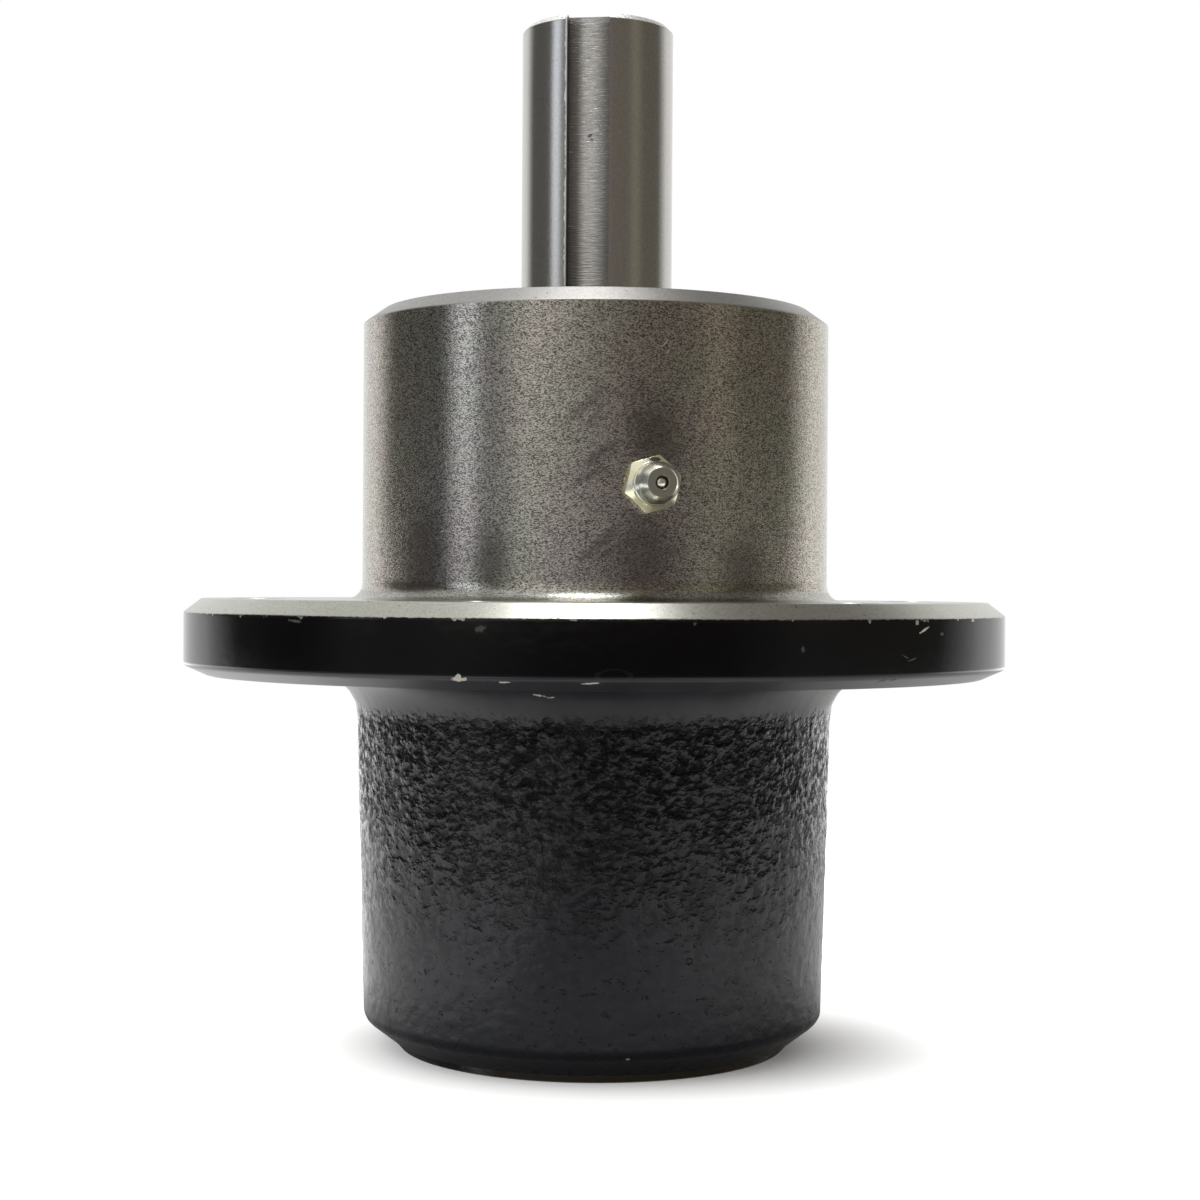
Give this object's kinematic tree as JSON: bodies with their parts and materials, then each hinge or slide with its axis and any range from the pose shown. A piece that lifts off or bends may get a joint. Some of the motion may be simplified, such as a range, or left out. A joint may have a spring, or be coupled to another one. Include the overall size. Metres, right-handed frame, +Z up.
{
  "type": "mower deck spindle",
  "caption": "Flanged cast spindle housing with a keyed shaft on tapered roller bearings, oil seals and a grease fitting; carries a blade below the deck and a pulley above it.",
  "frame": {"origin": "on the shaft's axis, in the housing's bottom face, on which it stands", "axes": "+Z up along the shaft towards its keyed end; the keyway faces -Y"},
  "size_m": [0.154, 0.154, 0.1923],
  "materials": {
    "cast_iron_housing": "turned above the flange, gloss black paint on cast skin below it",
    "shaft_steel": "ground, with a milled keyway",
    "bearing_steel": "ground and honed",
    "cage_steel": "pressed sheet",
    "seal_steel": "pressed sheet with a dark lacquer",
    "seal_rubber": "moulded nitrile, satin",
    "spring_steel": "drawn wire",
    "plated_steel": "zinc plate with a pale yellow tint"
  },
  "bodies": {
    "housing": {"spindle_housing": "cast_iron_housing", "lower_bearing_cup": "bearing_steel", "upper_bearing_cup": "bearing_steel", "lower_seal_case": "seal_steel", "upper_seal_case": "seal_steel", "lower_seal_lip": "seal_rubber", "upper_seal_lip": "seal_rubber", "lower_seal_spring": "spring_steel", "upper_seal_spring": "spring_steel", "grease_fitting": "plated_steel", "grease_check_spring": "spring_steel"},
    "shaft": {"spindle_shaft": "shaft_steel", "upper_wear_sleeve": "shaft_steel", "bearing_spacer": "shaft_steel", "lower_bearing_cone": "bearing_steel", "upper_bearing_cone": "bearing_steel"},
    "lower_cage": {"lower_bearing_cage": "cage_steel", "lower_bearing_rollers": "bearing_steel"},
    "upper_cage": {"upper_bearing_cage": "cage_steel", "upper_bearing_rollers": "bearing_steel"},
    "check_ball": {"grease_check_ball": "bearing_steel"}
  },
  "joints": [
    {"name": "shaft_spin", "type": "hinge", "parent": "housing", "child": "shaft", "pos_m": [0, 0, 0.0691], "axis": [0, 0, 1], "continuous": true},
    {"name": "lower_cage_orbit", "type": "hinge", "parent": "housing", "child": "lower_cage", "pos_m": [0, 0, 0.02], "axis": [0, 0, 1], "continuous": true},
    {"name": "upper_cage_orbit", "type": "hinge", "parent": "housing", "child": "upper_cage", "pos_m": [0, 0, 0.1182], "axis": [0, 0, 1], "continuous": true},
    {"name": "check_ball_press", "type": "slide", "parent": "housing", "child": "check_ball", "axis": [-0.3371, 0.9415, 0], "range_m": [0, 0.0008], "stiffness_N_per_m": 300, "deforming": ["grease_check_spring"]}
  ],
  "couplings": [
    {"joint": "lower_cage_orbit", "follows": "shaft_spin", "ratio": 0.4292},
    {"joint": "upper_cage_orbit", "follows": "shaft_spin", "ratio": 0.4292}
  ]
}
